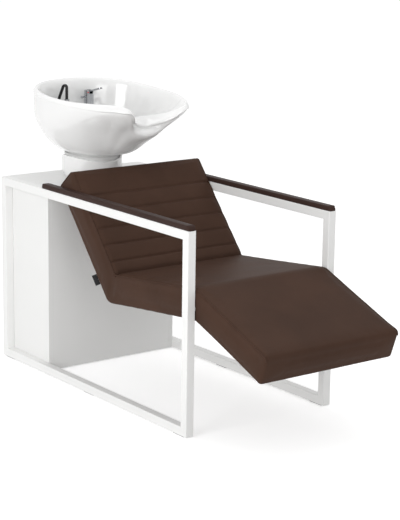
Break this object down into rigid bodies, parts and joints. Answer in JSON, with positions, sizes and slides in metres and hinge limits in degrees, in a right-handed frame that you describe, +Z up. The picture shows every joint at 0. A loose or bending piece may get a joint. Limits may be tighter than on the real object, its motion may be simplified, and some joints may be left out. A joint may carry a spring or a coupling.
{
  "type": "hair washing bed",
  "caption": "Reclining hair washing bed: folded leather chaise between white tube frames with arm pads, a white cabinet behind, and a tilting ceramic basin with mixer tap and pull-up spray.",
  "frame": {"origin": "on the floor, under the middle of the object's box", "axes": "+Z up, -Y towards the client's feet, +Y towards the basin and the service door, +X towards the client's left hand"},
  "size_m": [0.604, 1.5077, 1.0069],
  "materials": {
    "white_enamel": "satin",
    "grey_plastic": "matt",
    "pad_leather": "satin",
    "plywood": "matt",
    "zinc_steel": "zinc plated",
    "white_laminate": "satin",
    "white_plastic": "matt",
    "brown_catch": "matt",
    "brown_leather": "soft satin",
    "black_fabric": "woven",
    "glazed_ceramic": "glossy glaze",
    "chrome": "polished",
    "black_rubber": "matt",
    "plain_brass": "machined",
    "black_gloss": "glossy"
  },
  "bodies": {
    "base": {"left_front_post": "white_enamel", "right_front_post": "white_enamel", "left_arm_rail": "white_enamel", "right_arm_rail": "white_enamel", "left_rear_post": "white_enamel", "right_rear_post": "white_enamel", "left_base_rail": "white_enamel", "right_base_rail": "white_enamel", "floor_glides": "grey_plastic", "left_arm_pad": "pad_leather", "right_arm_pad": "pad_leather", "arm_pad_boards": "plywood", "arm_pad_screws": "zinc_steel", "cabinet_left_side": "white_laminate", "cabinet_right_side": "white_laminate", "cabinet_front": "white_laminate", "cabinet_top": "white_laminate", "cabinet_shelf": "white_laminate", "cabinet_screws": "zinc_steel", "cabinet_angles": "zinc_steel", "hinge_frame_leaves": "zinc_steel", "hinge_pins": "zinc_steel", "magnetic_catch": "brown_catch", "chaise_side_bars": "zinc_steel", "leg_board": "plywood", "seat_board": "plywood", "back_board": "plywood", "chaise_screws": "zinc_steel", "front_cross_tube": "white_enamel", "back_cross_tube": "white_enamel", "leg_cushion": "brown_leather", "seat_cushion": "brown_leather", "back_cushion": "brown_leather", "rear_tag": "black_fabric", "basin_collar": "glazed_ceramic", "tilt_yoke": "zinc_steel", "yoke_bolts": "zinc_steel", "tilt_pins": "zinc_steel", "drain_cup": "black_rubber", "drain_hose": "grey_plastic", "drain_spigot": "grey_plastic", "supply_hose_tails": "black_rubber", "inlet_nipples": "plain_brass"},
    "basin": {"basin_bowl": "glazed_ceramic", "basin_carrier": "zinc_steel", "waste_fitting": "chrome", "waste_washer": "black_rubber", "waste_nut": "plain_brass", "supply_hose_tops": "black_rubber", "mixer_body": "chrome", "deck_nuts": "plain_brass", "hose_guide": "chrome"},
    "strainer": {"strainer": "chrome"},
    "mixer_cap": {"mixer_cap": "chrome"},
    "mixer_lever": {"mixer_lever": "chrome"},
    "handset": {"handset": "black_gloss"},
    "door": {"rear_door": "white_laminate", "hinge_door_leaves": "zinc_steel", "door_knob": "white_plastic", "catch_plate": "zinc_steel"}
  },
  "joints": [
    {"name": "basin_tilt", "type": "hinge", "parent": "base", "child": "basin", "pos_m": [0, 0.5985, 0.748], "axis": [1, 0, 0], "range_deg": [-4, 5]},
    {"name": "mixer_turn", "type": "hinge", "parent": "basin", "child": "mixer_cap", "pos_m": [0.048, 0.6925, 0.94805], "axis": [0, 0, 1], "range_deg": [-45, 45]},
    {"name": "lever_lift", "type": "hinge", "parent": "mixer_cap", "child": "mixer_lever", "pos_m": [0.048, 0.6925, 0.95925], "axis": [-1, 0, 0], "range_deg": [0, 22]},
    {"name": "handset_pull", "type": "slide", "parent": "basin", "child": "handset", "axis": [0, 0, 1], "range_m": [0, 0.05]},
    {"name": "strainer_lift", "type": "slide", "parent": "basin", "child": "strainer", "axis": [0, 0, 1], "range_m": [0, 0.03]},
    {"name": "door_swing", "type": "hinge", "parent": "base", "child": "door", "pos_m": [-0.2525, 0.74, 0.34], "axis": [0, 0, 1], "range_deg": [0, 100]}
  ]
}
